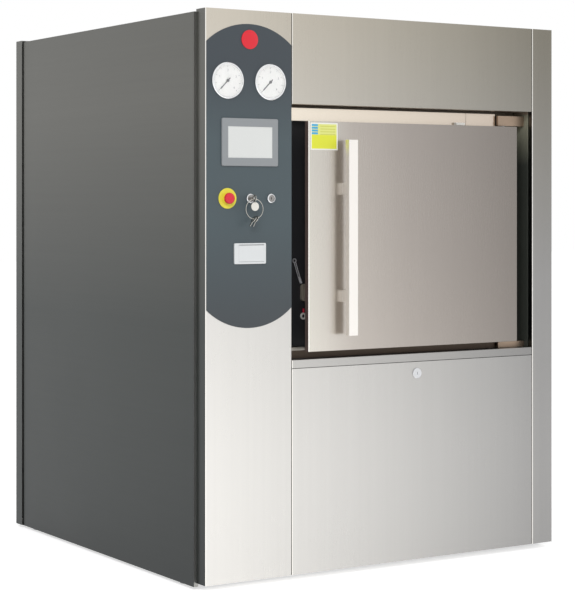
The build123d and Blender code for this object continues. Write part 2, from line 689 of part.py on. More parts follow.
def cable_lug():
    """Round eye with a sleeved shank."""
    x = FLANGE_LEFT - LUG_PLACE[0]
    z = OPENING_BOTTOM + LUG_PLACE[1]
    y0 = RECESS_BACK - LUG_THICKNESS
    eye = rod_y(x, z, LUG_RADIUS, y0, RECESS_BACK)
    shank = block(x - 2, x + 2, y0, RECESS_BACK, z, z + LUG_RADIUS + LUG_LENGTH)
    hole = rod_y(x, z, LUG_RADIUS / 2, y0 - 1, RECESS_BACK + 1)
    sleeve = rod_z(x, RECESS_BACK - LUG_SLEEVE, LUG_SLEEVE, z + LUG_RADIUS, z + LUG_RADIUS + LUG_LENGTH)
    return eye + shank - hole + sleeve


def door_cover():
    """Folded front sheet of the door."""
    return front_pan(DOOR_LEFT, DOOR_RIGHT, DOOR_BOTTOM, DOOR_TOP, DOOR_FOLD)


INNER_LEFT = DOOR_LEFT + DOOR_SIDE_INSET
INNER_RIGHT = DOOR_RIGHT - DOOR_SIDE_INSET
INNER_BOTTOM = DOOR_BOTTOM + DOOR_END_INSET
INNER_TOP = DOOR_TOP - DOOR_END_INSET


def door_plate():
    """Thick plate that closes on the gasket."""
    return block(INNER_LEFT, INNER_RIGHT, PLATE_FRONT, PLATE_BACK, INNER_BOTTOM, INNER_TOP)


def door_ribs():
    """Grid of ribs welded on the plate, with a closed edge all round."""
    y0 = FACE + SHEET
    y1 = PLATE_FRONT
    ribs = block(INNER_LEFT, INNER_RIGHT, y0, y1, INNER_BOTTOM, INNER_TOP)
    pitch_x = (INNER_RIGHT - INNER_LEFT - RIB) / RIB_COLUMNS
    pitch_z = (INNER_TOP - INNER_BOTTOM - RIB) / RIB_ROWS
    for i in range(RIB_COLUMNS):
        for j in range(RIB_ROWS):
            x0 = INNER_LEFT + RIB + i * pitch_x
            z0 = INNER_BOTTOM + RIB + j * pitch_z
            ribs -= block(x0, x0 + pitch_x - RIB, y0 - 1, y1 + 1, z0, z0 + pitch_z - RIB)
    return ribs


def pivot_arm(z0, z1):
    """Arm behind the cover from the ribs to the pivot, with the hole of its pin."""
    arm = block(
        INNER_RIGHT - ARM_REACH, PIVOT_X, PIVOT_Y - ARM_RADIUS, PLATE_FRONT, z0, z1
    ) + rod_z(PIVOT_X, PIVOT_Y, ARM_RADIUS, z0, z1)
    return arm - rod_z(PIVOT_X, PIVOT_Y, PIN_RADIUS, z0 - 1, z1 + 1)


def door_arms():
    """Upper and lower pivot arms."""
    top = pivot_arm(INNER_TOP, INNER_TOP + ARM_THICKNESS)
    low = pivot_arm(INNER_BOTTOM - ARM_THICKNESS, INNER_BOTTOM)
    return Compound(children=[top, low])


def pivot_pins():
    """Pins pressed into the arms that turn in the fixed brackets."""
    top = rod_z(PIVOT_X, PIVOT_Y, PIN_RADIUS, INNER_TOP, TOP_BRACKET_Z + PIN_REACH)
    low = rod_z(PIVOT_X, PIVOT_Y, PIN_RADIUS, OPENING_BOTTOM + PIN_END_GAP, INNER_BOTTOM)
    return Compound(children=[top, low])


HANDLE_X0 = DOOR_LEFT + HANDLE_LEFT
HANDLE_Z0 = DOOR_BOTTOM + HANDLE_BOTTOM
HANDLE_Z1 = DOOR_TOP - HANDLE_TOP


def handle_bar():
    """Flat bar handle with softened long edges."""
    bar = block(
        HANDLE_X0, HANDLE_X0 + HANDLE_WIDTH, FACE - HANDLE_PROUD, FACE - HANDLE_STANDOFF,
        HANDLE_Z0, HANDLE_Z1,
    )
    return fillet(bar.edges().filter_by(Axis.Z), HANDLE_CORNER)


def handle_standoffs():
    """Two blocks that carry the bar."""
    x = HANDLE_X0 + HANDLE_WIDTH / 2
    blocks = []
    for z in (HANDLE_Z0 + STANDOFF_LOW, HANDLE_Z1 - STANDOFF_HIGH):
        blocks.append(block(
            x - STANDOFF_WIDTH / 2, x + STANDOFF_WIDTH / 2, FACE - HANDLE_STANDOFF, FACE,
            z - STANDOFF_HEIGHT / 2, z + STANDOFF_HEIGHT / 2,
        ))
    return Compound(children=blocks)


def control_panel():
    """Painted plate with an arched top and bottom."""
    half = PANEL_WIDTH / 2
    low = PANEL_BOTTOM + PANEL_RISE
    high = PANEL_TOP - PANEL_RISE
    edge = (
        Line((half, low), (half, high))
        + ThreePointArc((half, high), (0, PANEL_TOP), (-half, high))
        + Line((-half, high), (-half, low))
        + ThreePointArc((-half, low), (0, PANEL_BOTTOM), (half, low))
    )
    plate = extrude(Plane.XZ * make_face(edge), PANEL_THICKNESS)
    return Pos(PANEL_X, FACE, 0) * plate - printer_window()


def gauge_centres():
    z = PANEL_TOP - GAUGE_DROP
    return [(PANEL_X + GAUGE_SHIFT + side * GAUGE_SPACING / 2, z) for side in (-1, 1)]


DIAL_FACE = PANEL_FACE - GAUGE_PROUD + GAUGE_DIAL_DROP


def gauge_cases():
    """Turned cases of the two pressure gauges."""
    cases = []
    for x, z in gauge_centres():
        case = rod_y(x, z, GAUGE_RADIUS, PANEL_FACE - GAUGE_PROUD, PANEL_FACE)
        case = chamfer(case.edges().group_by(Axis.Y)[0], GAUGE_CHAMFER)
        case -= rod_y(x, z, GAUGE_RADIUS - GAUGE_RIM, PANEL_FACE - GAUGE_PROUD - 1, DIAL_FACE + DIAL_SHEET)
        cases.append(case)
    return Compound(children=cases)


def gauge_dials():
    radius = GAUGE_RADIUS - GAUGE_RIM
    dials = [rod_y(x, z, radius, DIAL_FACE, DIAL_FACE + DIAL_SHEET) for x, z in gauge_centres()]
    return Compound(children=dials)


def gauge_needles():
    """Needle with hub and tail, one on each dial."""
    needles = []
    for (x, z), angle in zip(gauge_centres(), NEEDLE_ANGLES):
        length = NEEDLE_LENGTH + NEEDLE_TAIL
        blade = Pos((NEEDLE_LENGTH - NEEDLE_TAIL) / 2, 0, 0) * Box(length, NEEDLE_THICKNESS, NEEDLE_WIDTH)
        hub = Rot(90, 0, 0) * Cylinder(HUB_RADIUS, HUB_LENGTH)
        needle = blade + hub
        needles.append(Pos(x, DIAL_FACE - HUB_LENGTH / 2, z) * Rot(0, -angle, 0) * needle)
    return Compound(children=needles)


def gauge_glasses():
    y0 = PANEL_FACE - GAUGE_PROUD + GLASS_DROP
    glasses = [rod_y(x, z, GAUGE_RADIUS - GAUGE_RIM, y0, y0 + GLASS) for x, z in gauge_centres()]
    return Compound(children=glasses)


SCREEN_Z = PANEL_TOP - SCREEN_DROP


def screen_bezel():
    """Frame of the touch screen."""
    frame = rounded_block(
        PANEL_X, SCREEN_Z, SCREEN_WIDTH, SCREEN_HEIGHT, SCREEN_CORNER, PANEL_FACE - SCREEN_PROUD, PANEL_FACE
    )
    frame = chamfer(frame.faces().sort_by(Axis.Y)[0].edges(), SCREEN_CHAMFER)
    y0 = PANEL_FACE - SCREEN_PROUD
    return frame - block(
        PANEL_X - LCD_WIDTH / 2, PANEL_X + LCD_WIDTH / 2, y0 - 1, y0 + LCD_DROP + LCD_THICKNESS,
        SCREEN_Z - LCD_HEIGHT / 2, SCREEN_Z + LCD_HEIGHT / 2,
    )


def screen_display():
    y0 = PANEL_FACE - SCREEN_PROUD + LCD_DROP
    return block(
        PANEL_X - LCD_WIDTH / 2, PANEL_X + LCD_WIDTH / 2, y0, y0 + LCD_THICKNESS,
        SCREEN_Z - LCD_HEIGHT / 2, SCREEN_Z + LCD_HEIGHT / 2,
    )


CONTROL_Z = PANEL_TOP - CONTROL_DROP
STOP_X = PANEL_X + STOP_OFFSET
KEY_X = PANEL_X + KEY_OFFSET
LOCK_X = PANEL_X + LOCK_OFFSET
COLLAR_FACE = PANEL_FACE - STOP_DISC - STOP_COLLAR


def stop_collar():
    """Yellow disc with the raised collar that guides the mushroom button."""
    disc = rod_y(STOP_X, CONTROL_Z, STOP_DISC_RADIUS, PANEL_FACE - STOP_DISC, PANEL_FACE)
    collar = rod_y(STOP_X, CONTROL_Z, STOP_COLLAR_RADIUS, COLLAR_FACE, PANEL_FACE - STOP_DISC)
    bore = rod_y(STOP_X, CONTROL_Z, STOP_BORE_RADIUS, COLLAR_FACE - 1, PANEL_FACE + 1)
    return disc + collar - bore


def stop_button():
    """Mushroom head on its stem."""
    y1 = COLLAR_FACE - STOP_TRAVEL - STOP_CLEAR
    profile = [(0.0, 0.0)] + [(r * STOP_HEAD_RADIUS, h * STOP_HEAD) for r, h in STOP_DOME]
    section = make_face(Plane.XZ * Polyline(*profile, close=True))
    head = Pos(STOP_X, y1, CONTROL_Z) * Rot(90, 0, 0) * revolve(section, Axis.Z)
    stem = rod_y(STOP_X, CONTROL_Z, STOP_STEM_RADIUS, y1, PANEL_FACE - STOP_TRAVEL - STOP_STEM_GAP)
    return head + stem


def key_switches():
    """Two chrome-ringed key switches; the left one takes the key."""
    switches = []
    for x in (KEY_X, LOCK_X):
        ring = rod_y(x, CONTROL_Z, SWITCH_RADIUS, PANEL_FACE - SWITCH_PROUD, PANEL_FACE)
        ring = chamfer(ring.edges().group_by(Axis.Y)[0], SWITCH_CHAMFER)
        barrel_face = PANEL_FACE - SWITCH_BARREL_PROUD
        ring -= rod_y(x, CONTROL_Z, SWITCH_DISH_RADIUS, PANEL_FACE - SWITCH_PROUD - 1, barrel_face)
        ring -= face_slot(x, barrel_face, CONTROL_Z, KEY_SLOT)
        switches.append(ring)
    return Compound(children=switches)


def key_shape():
    """Flat key in the YZ plane: blade to +Y from the bow's centre."""
    bow = Rot(0, 90, 0) * Cylinder(KEY_BOW_RADIUS, KEY_THICKNESS)
    hole = Rot(0, 90, 0) * Cylinder(KEY_HOLE_RADIUS, KEY_THICKNESS + 2)
    y1 = KEY_BOW_RADIUS + KEY_NECK
    blade = block(-KEY_THICKNESS / 2, KEY_THICKNESS / 2, 0, y1, -KEY_BLADE / 2, KEY_BLADE / 2)
    return bow + blade - hole


KEY_BOW_Y = PANEL_FACE - SWITCH_BARREL_PROUD + KEY_SLOT[2] - 0.5 - KEY_BOW_RADIUS - KEY_NECK


RING_DROP = KEY_HOLE_RADIUS - RING_WIRE - HANG_GAP
RING_Z = CONTROL_Z - RING_DROP - RING_RADIUS


def keys():
    """Key in the left switch and spare keys that lean on the same ring."""
    parts = [Pos(KEY_X, KEY_BOW_Y, CONTROL_Z) * key_shape()]
    for angle, lean in SPARE_KEYS:
        x = KEY_X + RING_RADIUS * math.sin(math.radians(angle))
        z = RING_Z - RING_RADIUS * math.cos(math.radians(angle))
        hung = Pos(0, 0, -SPARE_DROP) * Rot(-90, 0, 0) * key_shape()
        parts.append(Pos(x, KEY_BOW_Y, z) * Rot(0, lean, 0) * hung)
    return Compound(children=parts)


def key_ring():
    """Flat-wire ring through the bows of the keys."""
    y0 = KEY_BOW_Y - RING_WIRE
    y1 = KEY_BOW_Y + RING_WIRE
    ring = rod_y(KEY_X, RING_Z, RING_RADIUS + RING_WIRE, y0, y1)
    return ring - rod_y(KEY_X, RING_Z, RING_RADIUS - RING_WIRE, y0 - 1, y1 + 1)


def key_tag():
    """Plain round tag that hangs close under the key's bow."""
    x = KEY_X + TAG_OFFSET
    z = CONTROL_Z - KEY_BOW_RADIUS - HANG_GAP - TAG_RADIUS
    y0 = KEY_BOW_Y + RING_WIRE + HANG_GAP
    return rod_y(x, z, TAG_RADIUS, y0, y0 + TAG_THICKNESS)


PRINTER_FACE = PANEL_FACE - PRINTER_PROUD
COVER_X1 = PANEL_X + PRINTER_WIDTH / 2 - COVER_SIDE
COVER_X0 = COVER_X1 - COVER_WIDTH
COVER_Z0 = PRINTER_Z - COVER_HEIGHT / 2
COVER_Z1 = PRINTER_Z + COVER_HEIGHT / 2


def paper_bay(y0, y1):
    """Cutter for the paper bay with the slot over its cover."""
    gap = COVER_GAP / 2
    return block(COVER_X0 - gap, COVER_X1 + gap, y0, y1, COVER_Z0 - gap, COVER_Z1 + PAPER_SLOT)


def printer_frame():
    """Front plate of the printer round the paper bay."""
    plate = rounded_block(
        PANEL_X, PRINTER_Z, PRINTER_WIDTH, PRINTER_HEIGHT, PRINTER_CORNER, PRINTER_FACE, PANEL_FACE
    )
    return plate - paper_bay(PRINTER_FACE - 1, PANEL_FACE + 1)


def printer_case():
    """Open box behind the plate that holds the paper."""
    wall = PRINTER_WALL
    y1 = PANEL_FACE + PRINTER_DEPTH
    z1 = COVER_Z1 + PAPER_SLOT + wall
    case = block(COVER_X0 - wall, COVER_X1 + wall, PANEL_FACE, y1, COVER_Z0 - wall, z1)
    return case - paper_bay(PANEL_FACE - 1, y1 - wall)


def printer_cover():
    """Flap over the paper bay with a rounded lower edge round its hinge line."""
    flap = block(COVER_X0, COVER_X1, PRINTER_FACE, PRINTER_FACE + COVER_THICKNESS, COVER_Z0, COVER_Z1)
    return fillet(flap.edges().filter_by(Axis.X).sort_by(Axis.Z)[:2], COVER_THICKNESS / 2 - 0.05)


def paper_roll():
    """Roll of paper at the bottom of the bay."""
    y = PANEL_FACE + PRINTER_DEPTH - PRINTER_WALL - ROLL_RADIUS - ROLL_GAP
    z = COVER_Z0 - COVER_GAP / 2 + ROLL_RADIUS
    x = (COVER_X0 + COVER_X1) / 2
    roll = Pos(x, y, z) * Rot(0, 90, 0) * Cylinder(ROLL_RADIUS, ROLL_WIDTH)
    return roll - Pos(x, y, z) * Rot(0, 90, 0) * Cylinder(ROLL_CORE, ROLL_WIDTH + 2)


NODES = {
    "side_rails": side_rails,
    "cross_rails": cross_rails,
    "corner_posts": corner_posts,
    "levelling_feet": levelling_feet,
    "left_side_panel": lambda: side_panel(-1),
    "right_side_panel": lambda: side_panel(1),
    "rear_panel": rear_panel,
    "top_panel": top_panel,
    "control_column": control_column,
    "right_column": right_column,
    "header_panel": header_panel,
    "service_panel": service_panel,
    "ledge_strip": ledge_strip,
    "service_lock": service_lock,
    "recess_lining": recess_lining,
    "recess_back": recess_back,
    "lintel_bar": lintel_bar,
    "sill_bar": sill_bar,
    "sill_step": sill_step,
    "striker_block": striker_block,
    "hinge_brackets": hinge_brackets,
    "chamber_flange": chamber_flange,
    "door_gasket": door_gasket,
    "chamber_shell": chamber_shell,
    "chamber_end": chamber_end,
    "chamber_rails": chamber_rails,
    "drain_strainer": drain_strainer,
    "stand_beams": stand_beams,
    "stand_legs": stand_legs,
    "latch_link": latch_link,
    "latch_spring": latch_spring,
    "cable_lug": cable_lug,
    "door_cover": door_cover,
    "door_plate": door_plate,
    "door_ribs": door_ribs,
    "door_arms": door_arms,
    "pivot_pins": pivot_pins,
    "handle_bar": handle_bar,
    "handle_standoffs": handle_standoffs,
    "control_panel": control_panel,
    "gauge_cases": gauge_cases,
    "gauge_dials": gauge_dials,
    "gauge_needles": gauge_needles,
    "gauge_glasses": gauge_glasses,
    "screen_bezel": screen_bezel,
    "screen_display": screen_display,
    "stop_collar": stop_collar,
    "stop_button": stop_button,
    "key_switches": key_switches,
    "keys": keys,
    "key_ring": key_ring,
    "key_tag": key_tag,
    "printer_frame": printer_frame,
    "printer_case": printer_case,
    "printer_cover": printer_cover,
    "paper_roll": paper_roll,
}

os.makedirs("parts", exist_ok=True)
for name, make in NODES.items():
    export_step(make(), "parts/" + name + ".step")
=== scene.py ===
"""Cabinet autoclave: finishes, small fittings and a plain studio round its built frame."""

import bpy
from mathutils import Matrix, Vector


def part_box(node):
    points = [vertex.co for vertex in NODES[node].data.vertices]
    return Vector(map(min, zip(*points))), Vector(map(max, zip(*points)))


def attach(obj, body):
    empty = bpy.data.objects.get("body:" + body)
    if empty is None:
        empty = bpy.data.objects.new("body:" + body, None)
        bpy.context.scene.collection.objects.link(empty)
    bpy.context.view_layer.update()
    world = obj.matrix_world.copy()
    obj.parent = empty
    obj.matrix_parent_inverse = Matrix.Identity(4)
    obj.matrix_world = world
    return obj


bl_info = {
    "name": "Cabinet autoclave",
    "version": (1, 0, 0),
    "blender": (4, 5, 0),
    "location": "3D View > Sidebar > Autoclave",
    "description": "Finishes and fits out a cabinet autoclave and sets up a studio for it",
    "category": "Object",
}

import math

import bpy
from bpy.props import FloatProperty, FloatVectorProperty, PointerProperty
from mathutils import Matrix, Vector

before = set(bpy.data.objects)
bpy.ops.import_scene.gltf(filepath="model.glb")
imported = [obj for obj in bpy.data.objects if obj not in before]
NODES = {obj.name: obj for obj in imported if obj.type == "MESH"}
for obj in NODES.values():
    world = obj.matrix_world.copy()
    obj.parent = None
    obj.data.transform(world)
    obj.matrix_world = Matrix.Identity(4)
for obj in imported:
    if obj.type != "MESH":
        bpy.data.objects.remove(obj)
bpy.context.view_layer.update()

DOOR_LOW, DOOR_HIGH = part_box("door_cover")
PANEL_LOW, PANEL_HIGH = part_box("control_panel")
FACADE_LOW, FACADE_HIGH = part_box("control_column")
RIGHT_LOW, RIGHT_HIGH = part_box("right_column")
SIDE_LOW, SIDE_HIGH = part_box("left_side_panel")
LINTEL_LOW, LINTEL_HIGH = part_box("lintel_bar")
LUG_LOW, LUG_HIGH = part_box("cable_lug")
LUG_SPLIT = LUG_LOW.z + (LUG_HIGH.x - LUG_LOW.x)
FACE_Y = FACADE_LOW.y
PANEL_Y = PANEL_LOW.y


def linear(red, green, blue):
    """Colour as a shader takes it, from the 0 to 255 values of a screen."""
    out = []
    for value in (red, green, blue):
        share = value / 255
        out.append(share / 12.92 if share <= 0.04045 else ((share + 0.055) / 1.055) ** 2.4)
    return tuple(out)


def colour_property(name, description, red, green, blue):
    return FloatVectorProperty(
        name=name, description=description, default=linear(red, green, blue),
        size=3, min=0.0, max=1.0, subtype="COLOR",
    )


def length_property(name, description, metres):
    return FloatProperty(
        name=name, description=description, default=metres, min=0.0, subtype="DISTANCE", unit="LENGTH"
    )


class AutoclaveColours(bpy.types.PropertyGroup):
    # The four facade tones below are painted reflection: light on the left and near the floor, dull towards the
    # right and top.
    facade_reflection_light: colour_property("Facade, light", "Brushed facade near the floor on its bright side", 220, 218, 214)
    facade_reflection_warm: colour_property("Facade, warm", "Brushed facade at the top of its bright side", 207, 200, 187)
    facade_reflection_dull: colour_property("Facade, dull", "Brushed facade at the top of its dull side", 132, 128, 118)
    facade_reflection_grey: colour_property("Facade, grey", "Brushed facade near the floor on its dull side", 150, 149, 148)
    # Painted highlight on the bends and cut edges.
    bend: colour_property("Bends", "Bends and cut edges that catch the light", 252, 249, 243)
    # The door tones below are painted reflection: light at the free edge, dull at the hinge side, brown on the
    # folds.
    door_reflection_light: colour_property("Door, light", "Door cover at its free edge", 211, 207, 198)
    door_reflection_dull: colour_property("Door, dull", "Door cover at the hinge side", 136, 130, 125)
    door_fold_reflection: colour_property("Door, fold", "Side folds of the door cover", 112, 95, 90)
    # The side tones below are painted reflection, dark near the floor and lighter near the top.
    side_reflection_top: colour_property("Side, top", "Side sheets near the top", 104, 104, 100)
    side_reflection_middle: colour_property("Side, middle", "Side sheets at half height", 68, 71, 70)
    side_reflection_bottom: colour_property("Side, bottom", "Side sheets near the floor", 54, 57, 57)
    # The two bar tones below are painted reflection, bright at the left end and dull at the right end.
    polished: colour_property("Polished bar", "Bar over the door at its left end", 243, 233, 217)
    bar_reflection_dull: colour_property("Polished bar, dull", "Bar over the door at its right end", 206, 192, 178)
    handle: colour_property("Handle", "Bar handle and its standoffs", 241, 237, 232)
    recess: colour_property("Recess", "Painted recess left of the door", 46, 46, 49)
    # Right of the door the dark paint turns to a lighter olive tone as painted reflection.
    recess_right_reflection: colour_property("Recess, right", "Painted recess right of the door", 62, 65, 60)
    # Over the bar the recess has a steel tone, made lighter as painted light.
    recess_top_steel_and_painted_light: colour_property("Recess, top", "Recess over the bar", 150, 136, 120)
    # The brown of the hinge brackets is a painted reflection on the steel.
    bracket: colour_property("Hinge bracket", "Brown steel of the hinge brackets", 168, 148, 130)
    # The darker tone at the panel's top is painted shade; the tone below it is the paint.
    panel_top_shade: colour_property("Control panel, top", "Painted panel round the gauges", 62, 69, 75)
    panel: colour_property("Control panel", "Painted panel behind the controls", 76, 88, 93)
    dial: colour_property("Dials", "Faces of the gauges", 246, 246, 244)
    bezel: colour_property("Screen frame", "Frame of the touch screen", 150, 154, 157)
    display: colour_property("Display", "Lit area of the touch screen", 229, 231, 229)
    yellow: colour_property("Stop disc", "Disc behind the stop button", 240, 230, 74)
    red: colour_property("Stop button", "Mushroom head", 226, 44, 64)
    printer: colour_property("Printer", "Plate and flap of the printer", 232, 235, 236)
    badge: colour_property("Badge", "Plain round badge on the panel", 228, 36, 52)
    sticker: colour_property("Sticker", "Field of the plain sticker on the door", 232, 236, 66)
    sticker_block: colour_property("Sticker blocks", "Four plain blocks on the sticker", 72, 176, 226)
    floor: colour_property("Floor", "Studio floor", 244, 244, 244)


class AutoclaveSizes(bpy.types.PropertyGroup):
    sticker_width: length_property("Sticker width", "Width of the sticker on the door", 0.111)
    sticker_height: length_property("Sticker height", "Height of the sticker on the door", 0.093)
    sticker_inset: length_property("Sticker inset", "Door's left edge to the sticker", 0.008)
    sticker_drop: length_property("Sticker drop", "Door's top edge to the sticker", 0.005)
    badge_radius: length_property("Badge radius", "Radius of the round badge", 0.032)
    wire_radius: length_property("Seal wire radius", "Thickness of the seal wire", 0.0006)
    screw_radius: length_property("Screw radius", "Heads of the small screws", 0.005)


def colours():
    return bpy.context.scene.autoclave_colours


def sizes():
    return bpy.context.scene.autoclave_sizes


# Shader maths


class Value:
    """A socket that Python's operators build Math nodes on."""

    def __init__(self, finish, socket):
        self.finish = finish
        self.socket = socket

    def __add__(self, other):
        return self.finish.math("ADD", self, other)

    def __sub__(self, other):
        return self.finish.math("SUBTRACT", self, other)

    def __rsub__(self, other):
        return self.finish.math("SUBTRACT", other, self)

    def __mul__(self, other):
        return self.finish.math("MULTIPLY", self, other)

    def __truediv__(self, other):
        return self.finish.math("DIVIDE", self, other)

    def __rtruediv__(self, other):
        return self.finish.math("DIVIDE", other, self)

    def __gt__(self, other):
        return self.finish.math("GREATER_THAN", self, other)

    def __lt__(self, other):
        return self.finish.math("LESS_THAN", self, other)

    __radd__ = __add__
    __rmul__ = __mul__


class Finish:
    """A material and the few calls that fill its node tree."""

    def __init__(self, name, **constants):
        self.material = bpy.data.materials.new(name)
        self.material.use_nodes = True
        self.tree = self.material.node_tree
        self.shader = self.tree.nodes["Principled BSDF"]
        for socket, value in constants.items():
            self.shader.inputs[socket.replace("_", " ")].default_value = value

    def put(self, value, socket):
        if isinstance(value, Value):
            self.tree.links.new(value.socket, socket)
        elif hasattr(value, "__len__") and len(value) == 3 and socket.type == "RGBA":
            socket.default_value = (*value, 1.0)
        else:
            socket.default_value = value

    def node(self, kind, settings, inputs, output=0):
        """Adds a node: its type, its settings, then the values or links of its sockets."""
        node = self.tree.nodes.new("ShaderNode" + kind)
        for key, value in settings.items():
            if key == "stops":
                self.set_stops(node.color_ramp, value)
            else:
                setattr(node, key, value)
        for key, value in inputs.items():
            self.put(value, node.inputs[key])
        return Value(self, node.outputs[output])

    @staticmethod
    def set_stops(ramp, stops):
        while len(ramp.elements) < len(stops):
            ramp.elements.new(0.5)
        for element, (position, colour) in zip(ramp.elements, stops):
            element.position = position
            element.color = (*colour, 1.0)

    def math(self, operation, a, b=0.0, clamp=False):
        return self.node("Math", {"operation": operation, "use_clamp": clamp}, {0: a, 1: b})

    def place(self, scale=(1, 1, 1), turn=(0, 0, 0)):
        """Place on the piece in metres, stretched by a scale for each axis."""
        point = self.node("TexCoord", {}, {}, "Object")
        return self.node("Mapping", {}, {"Vector": point, "Scale": scale, "Rotation": turn})

    def axis(self, name):
        point = self.node("TexCoord", {}, {}, "Object")
        return self.node("SeparateXYZ", {}, {0: point}, name)

    def between(self, value, low, high):
        """0 below low, 1 above high, and a line between them."""
        settings = {"clamp": True}
        return self.node("MapRange", settings, {"Value": value, "From Min": low, "From Max": high})

    def noise(self, scale, stretch=(1, 1, 1), detail=4.0, rough=0.55):
        inputs = {"Vector": self.place(stretch), "Scale": scale, "Detail": detail, "Roughness": rough}
        return self.node("TexNoise", {}, inputs)

    def ramp(self, value, stops):
        return self.node("ValToRGB", {"stops": stops}, {"Fac": value})

    def mix(self, factor, a, b, blend="MIX"):
        settings = {"data_type": "RGBA", "blend_type": blend}
        return self.node("Mix", settings, {0: factor, 6: a, 7: b}, 2)

    def tint(self, colour, shade):
        """Colour made darker or lighter by a value."""
        grey = self.node("CombineXYZ", {}, {0: shade, 1: shade, 2: shade})
        return self.mix(1.0, colour, grey, "MULTIPLY")

    def bump(self, height, strength, distance):
        inputs = {"Height": height, "Strength": strength, "Distance": distance}
        self.surface(Normal=self.node("Bump", {}, inputs))

    def surface(self, **links):
        for socket, value in links.items():
            self.put(value, self.shader.inputs[socket.replace("_", " ")])
        return self


def steel(name, colour, grain=(1, 1, 0.012), rough=0.3, streak=0.05, mark=0.04, metal=1.0):
    """Brushed steel: fine lines along one axis, faint smudges, and a colour built by the caller."""
    finish = Finish(name)
    base = colour(finish) if callable(colour) else colour
    lines = finish.noise(900.0, grain, 3.0, 0.6)
    bands = finish.noise(60.0, grain, 2.0, 0.5)
    smudge = finish.noise(3.2, (1, 1, 1), 5.0, 0.6)
    shade = 1.0 + (lines - 0.5) * streak + (bands - 0.5) * streak + (smudge - 0.5) * mark
    finish.surface(
        Base_Color=finish.tint(base, shade),
        Roughness=rough + (lines - 0.5) * 0.12 + (smudge - 0.5) * 0.1,
        Metallic=metal(finish) if callable(metal) else metal,
    )
    finish.bump(lines, 0.12, 0.0002)
    return finish.material


def paint(name, colour, rough=0.45, peel=0.05, scale=260.0, vary=0.05, **constants):
    """Sprayed paint or moulded plastic with a faint orange peel and uneven gloss."""
    finish = Finish(name, **constants)
    base = colour(finish) if callable(colour) else colour
    peel_noise = finish.noise(scale, (1, 1, 1), 3.0, 0.5)
    cloud = finish.noise(5.0, (1, 1, 1), 4.0, 0.55)
    finish.surface(
        Base_Color=finish.tint(base, 1.0 + (cloud - 0.5) * vary),
        Roughness=rough + (cloud - 0.5) * 0.12 + (peel_noise - 0.5) * 0.06,
    )
    finish.bump(peel_noise, peel, 0.0005)
    return finish.material


def gradient(axis, low, high, stops):
    """Colour that runs along an axis of the piece between two places."""

    def build(finish):
        return finish.ramp(finish.between(finish.axis(axis), low, high), stops)

    return build


def wear(material, *names):
    """Gives a material to CAD nodes."""
    for name in names:
        slots = NODES[name].material_slots
        if not slots:
            NODES[name].data.materials.append(material)
        for slot in slots:
            slot.material = material


# Modelling


def deselect_all():
    if bpy.context.object and bpy.context.object.mode != "OBJECT":
        bpy.ops.object.mode_set(mode="OBJECT")
    bpy.ops.object.select_all(action="DESELECT")


def piece_of(name):
    """The primitive that was just added, under its name."""
    piece = bpy.context.object
    piece.name = name
    piece.data.name = name
    return piece


def add_block(name, low, high):
    low, high = Vector(low), Vector(high)
    deselect_all()
    bpy.ops.mesh.primitive_cube_add(size=1.0, location=(low + high) / 2, scale=high - low)
    piece = piece_of(name)
    bpy.ops.object.transform_apply(location=True, rotation=True, scale=True)
    return piece


def add_rod(name, start, end, radius, sides=32):
    """Round bar between two points."""
    start, end = Vector(start), Vector(end)
    along = end - start
    turn = Vector((0, 0, 1)).rotation_difference(along).to_euler()
    deselect_all()
    bpy.ops.mesh.primitive_cylinder_add(
        vertices=sides, radius=radius, depth=along.length, location=(start + end) / 2, rotation=turn
    )
    piece = piece_of(name)
    bpy.ops.object.transform_apply(location=True, rotation=True, scale=True)
    return piece


def only(piece):
    deselect_all()
    piece.select_set(True)
    bpy.context.view_layer.objects.active = piece


def bevel(piece, width, segments=2, angle=30.0):
    only(piece)
    change = piece.modifiers.new("edge", "BEVEL")
    change.width = width
    change.segments = segments
    change.limit_method = "ANGLE"
    change.angle_limit = math.radians(angle)
    bpy.ops.object.modifier_apply(modifier=change.name)


def smooth(piece, angle=35.0):
    only(piece)
    bpy.ops.object.shade_smooth_by_angle(angle=math.radians(angle))


def inset_front(piece, thickness, depth):
    """Insets the face that looks forwards and moves it along its normal."""
    only(piece)
    for polygon in piece.data.polygons:
        polygon.select = polygon.normal.y < -0.9
    bpy.ops.object.mode_set(mode="EDIT")
    bpy.ops.mesh.select_mode(type="FACE")
    bpy.ops.mesh.inset(thickness=thickness, depth=depth)
    bpy.ops.object.mode_set(mode="OBJECT")


def join(name, pieces):
    only(pieces[0])
    for piece in pieces:
        piece.select_set(True)
    bpy.ops.object.join()
    return piece_of(name)


def fit(piece, body, material):
    """Hands a finished piece to its body with its finish."""
    piece.data.materials.clear()
    piece.data.materials.append(material)
    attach(piece, body)
    return piece


# Finishes of the built nodes


def facing(finish, axis):
    """Part of the surface's own normal along an axis of the object."""
    normal = finish.node("TexCoord", {}, {}, "Normal")
    return finish.node("SeparateXYZ", {}, {0: normal}, axis)


def side_painted_reflection(finish):
    """Painted reflection: dark at the floor and lighter near the top, with a painted highlight on the faces that
    look forwards.
    """
    tints = colours()
    stops = [
        (0.0, tuple(tints.side_reflection_bottom)), (0.45, tuple(tints.side_reflection_middle)), (0.85, tuple(tints.side_reflection_top)),
    ]
    base = finish.ramp(finish.between(finish.axis("Z"), SIDE_LOW.z, SIDE_HIGH.z), stops)
    # Faces that look forwards get a light tone as a painted highlight.
    front = finish.between(0.0 - facing(finish, "Y"), 0.5, 0.9)
    return finish.mix(front, base, linear(158, 158, 155))


